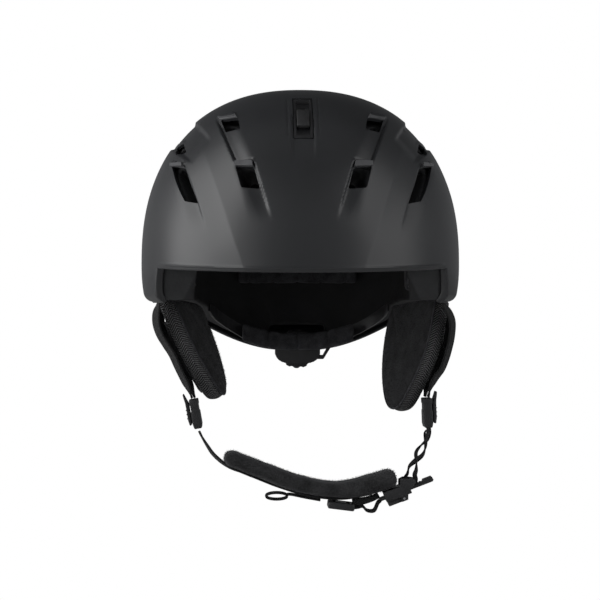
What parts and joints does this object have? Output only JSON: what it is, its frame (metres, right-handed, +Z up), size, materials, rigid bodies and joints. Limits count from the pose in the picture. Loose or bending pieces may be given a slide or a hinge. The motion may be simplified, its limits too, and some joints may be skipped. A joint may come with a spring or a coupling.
{
  "type": "ski helmet",
  "caption": "Full-coverage ski helmet: hard shell over foam liner, vent slider, dial fit system, soft ear pads, padded chin strap with ratchet buckle, goggle clip.",
  "frame": {"origin": "middle of the head opening, level with the brow line, where the wearer's head sits", "axes": "+Z up through the crown, -Y out of the face side, +X at the right of a viewer who faces the helmet"},
  "size_m": [0.228, 0.2866, 0.3026],
  "materials": {
    "shell": "satin black in-mould shell",
    "foam": "moulded foam, fine bead texture",
    "plastic": "semi-matt moulded plastic",
    "dark_plastic": "fine-textured moulded plastic",
    "ear_cloth": "plush lining with a knitted zigzag edge",
    "pad_cloth": "brushed lining fabric",
    "chin_cloth": "plush fleece",
    "webbing": "woven strap webbing",
    "rubber": "matt grip rubber",
    "steel": "plain steel"
  },
  "bodies": {
    "helmet": {"outer_shell": "shell", "eps_liner": "foam", "vent_slider_track": "plastic", "brow_pad": "pad_cloth", "crown_pad": "pad_cloth", "rear_pad": "pad_cloth", "side_pad_left": "pad_cloth", "side_pad_right": "pad_cloth", "dial_housing": "plastic", "nape_pad": "pad_cloth", "goggle_clip_base": "dark_plastic", "goggle_clip_pin": "steel", "front_webbing_left": "webbing", "strap_anchor_front_left": "steel", "rear_webbing_left": "webbing", "strap_anchor_rear_left": "steel", "divider_left": "dark_plastic", "front_webbing_right": "webbing", "strap_anchor_front_right": "steel", "rear_webbing_right": "webbing", "strap_anchor_rear_right": "steel", "divider_right": "dark_plastic"},
    "vent_slider": {"vent_slider_button": "rubber", "vent_shutter": "plastic"},
    "fit_dial": {"dial_knob": "rubber", "dial_pinion": "plastic"},
    "belt_left": {"fit_belt_left": "plastic"},
    "belt_right": {"fit_belt_right": "plastic"},
    "ear_left": {"ear_pad_left": "ear_cloth", "ear_plate_left": "plastic"},
    "ear_right": {"ear_pad_right": "ear_cloth", "ear_plate_right": "plastic"},
    "lever_left": {"divider_lever_left": "plastic"},
    "lever_right": {"divider_lever_right": "plastic"},
    "chin_strap": {"chin_webbing_left": "webbing", "chin_pad": "chin_cloth", "strap_adjuster": "dark_plastic", "pull_loop": "webbing", "tongue_webbing": "webbing", "ratchet_tongue": "plastic"},
    "strap_end": {"chin_webbing_right": "webbing"},
    "buckle": {"buckle_housing": "dark_plastic", "lever_pin": "steel"},
    "release": {"release_lever": "plastic"},
    "goggle_clip": {"goggle_clip_strap": "rubber"}
  },
  "joints": [
    {"name": "vent_slide", "type": "hinge", "parent": "helmet", "child": "vent_slider", "pos_m": [0, -0.02824, 0.01474], "axis": [-1, 0, 0], "range_deg": [0, 6.5]},
    {"name": "belt_left_slide", "type": "slide", "parent": "helmet", "child": "belt_left", "axis": [1, 0, 0], "range_m": [-0.004, 0.006]},
    {"name": "belt_right_slide", "type": "slide", "parent": "helmet", "child": "belt_right", "axis": [-1, 0, 0], "range_m": [-0.0042, 0.0062]},
    {"name": "fit_dial_turn", "type": "hinge", "parent": "helmet", "child": "fit_dial", "pos_m": [0, 0.09, -0.062], "axis": [0, 1, 0], "range_deg": [-57, 84]},
    {"name": "ear_left_fold", "type": "hinge", "parent": "helmet", "child": "ear_left", "pos_m": [-0.0863, 0.0045, -0.03], "axis": [0, -1, 0], "range_deg": [0, 13], "stiffness_Nm_per_rad": 0.35},
    {"name": "ear_right_fold", "type": "hinge", "parent": "helmet", "child": "ear_right", "pos_m": [0.0865, 0.0045, -0.03], "axis": [0, 1, 0], "range_deg": [0, 13], "stiffness_Nm_per_rad": 0.35},
    {"name": "lever_left_open", "type": "hinge", "parent": "helmet", "child": "lever_left", "pos_m": [-0.07871, -0.012, -0.11333], "axis": [0, -1, 0], "range_deg": [0, 75]},
    {"name": "lever_right_open", "type": "hinge", "parent": "helmet", "child": "lever_right", "pos_m": [0.09622, -0.012, -0.11181], "axis": [0, 1, 0], "range_deg": [0, 75]},
    {"name": "chin_strap_swing", "type": "hinge", "parent": "helmet", "child": "chin_strap", "pos_m": [0, -0.012, -0.127], "axis": [1, 0, 0], "range_deg": [-55, 45]},
    {"name": "strap_end_swing", "type": "hinge", "parent": "helmet", "child": "strap_end", "pos_m": [0.0912, -0.012, -0.127], "axis": [1, 0, 0], "range_deg": [-55, 45]},
    {"name": "buckle_release", "type": "slide", "parent": "strap_end", "child": "buckle", "axis": [0.9336, 0, 0.3584], "range_m": [0, 0.034], "deforming": ["chin_webbing_right"]},
    {"name": "release_lever_press", "type": "hinge", "parent": "buckle", "child": "release", "pos_m": [0.07392, -0.012, -0.16674], "axis": [0, -1, 0], "range_deg": [0, 35], "stiffness_Nm_per_rad": 0.02, "springref_deg": -17.19},
    {"name": "goggle_clip_open", "type": "hinge", "parent": "helmet", "child": "goggle_clip", "pos_m": [0, 0.1472, 0.007], "axis": [1, 0, 0], "range_deg": [0, 120]}
  ],
  "couplings": [
    {"joint": "belt_right_slide", "follows": "belt_left_slide", "ratio": 1},
    {"joint": "fit_dial_turn", "follows": "belt_left_slide", "rad_per_m": 238.1},
    {"joint": "strap_end_swing", "follows": "chin_strap_swing", "ratio": 1}
  ]
}
